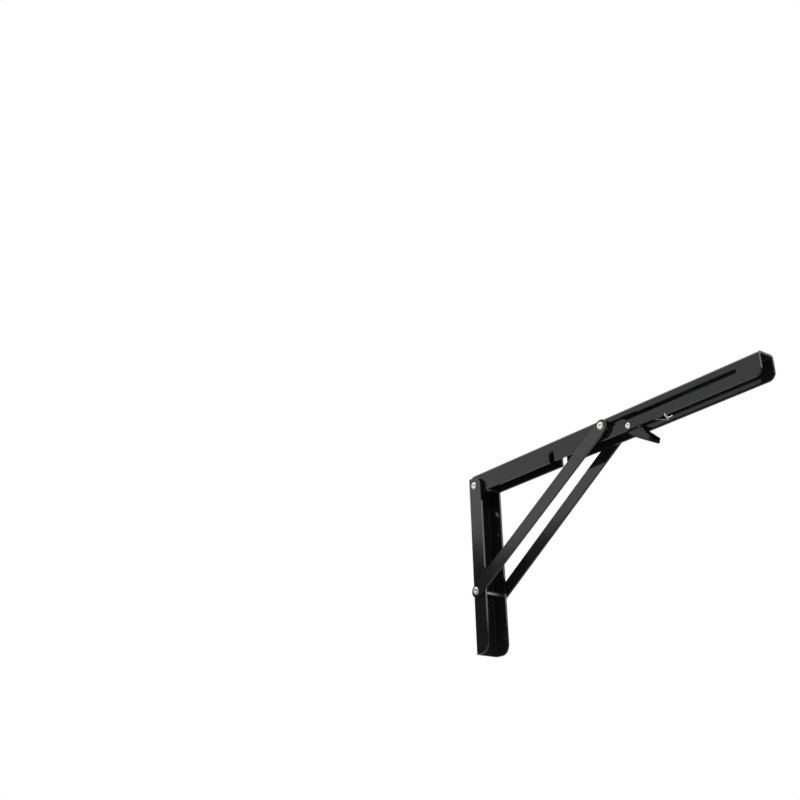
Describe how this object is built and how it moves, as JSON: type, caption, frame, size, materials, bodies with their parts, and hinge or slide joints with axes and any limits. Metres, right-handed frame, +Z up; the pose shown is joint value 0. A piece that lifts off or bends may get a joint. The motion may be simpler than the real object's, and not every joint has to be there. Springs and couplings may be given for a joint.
{
  "type": "drop leaf table bracket",
  "caption": "Folding steel bracket with a wall leg, a channel support arm, flat struts that slide in its slots and a spring loaded release lever.",
  "frame": {"origin": "on the wall face of the leg, halfway between its highest and its lowest wall screw hole", "axes": "+X out from the wall along the open support arm, +Z up, Y along the wall"},
  "size_m": [0.353, 0.0374, 0.1822],
  "materials": {
    "black_paint": "semi-gloss",
    "nickel": "satin",
    "steel": "plain"
  },
  "bodies": {
    "leg": {"wall_leg": "black_paint", "hinge_rivet": "nickel", "hinge_washers": "steel", "strut_rod": "nickel", "strut_washers": "steel"},
    "arm": {"support_arm": "black_paint", "lever_rivet": "nickel", "lever_spring": "steel"},
    "struts": {"strut_left": "black_paint", "strut_right": "black_paint", "upper_rivet_ends": "nickel"},
    "slider": {"sliding_pin": "steel", "pin_spacers": "steel"},
    "lever": {"release_lever": "black_paint"}
  },
  "joints": [
    {"name": "fold", "type": "hinge", "parent": "leg", "child": "arm", "pos_m": [0.0095, 0, 0.084], "axis": [0, 1, 0], "range_deg": [0, 90]},
    {"name": "strut_swing", "type": "hinge", "parent": "leg", "child": "struts", "pos_m": [0.0095, 0, -0.0245], "axis": [0, 1, 0], "range_deg": [0, 121.24]},
    {"name": "pin_slide", "type": "slide", "parent": "arm", "child": "slider", "axis": [1, 0, 0], "range_m": [0, 0.14158]},
    {"name": "lever_press", "type": "hinge", "parent": "arm", "child": "lever", "pos_m": [0.2145, 0, 0.0808], "axis": [0, -1, 0], "range_deg": [0, 25], "stiffness_Nm_per_rad": 0.1, "springref_deg": -34.38, "deforming": ["lever_spring"]}
  ],
  "couplings": [
    {"joint": "strut_swing", "follows": "fold", "ratio": 1.3471},
    {"joint": "pin_slide", "follows": "fold", "m_per_rad": 0.090129}
  ]
}
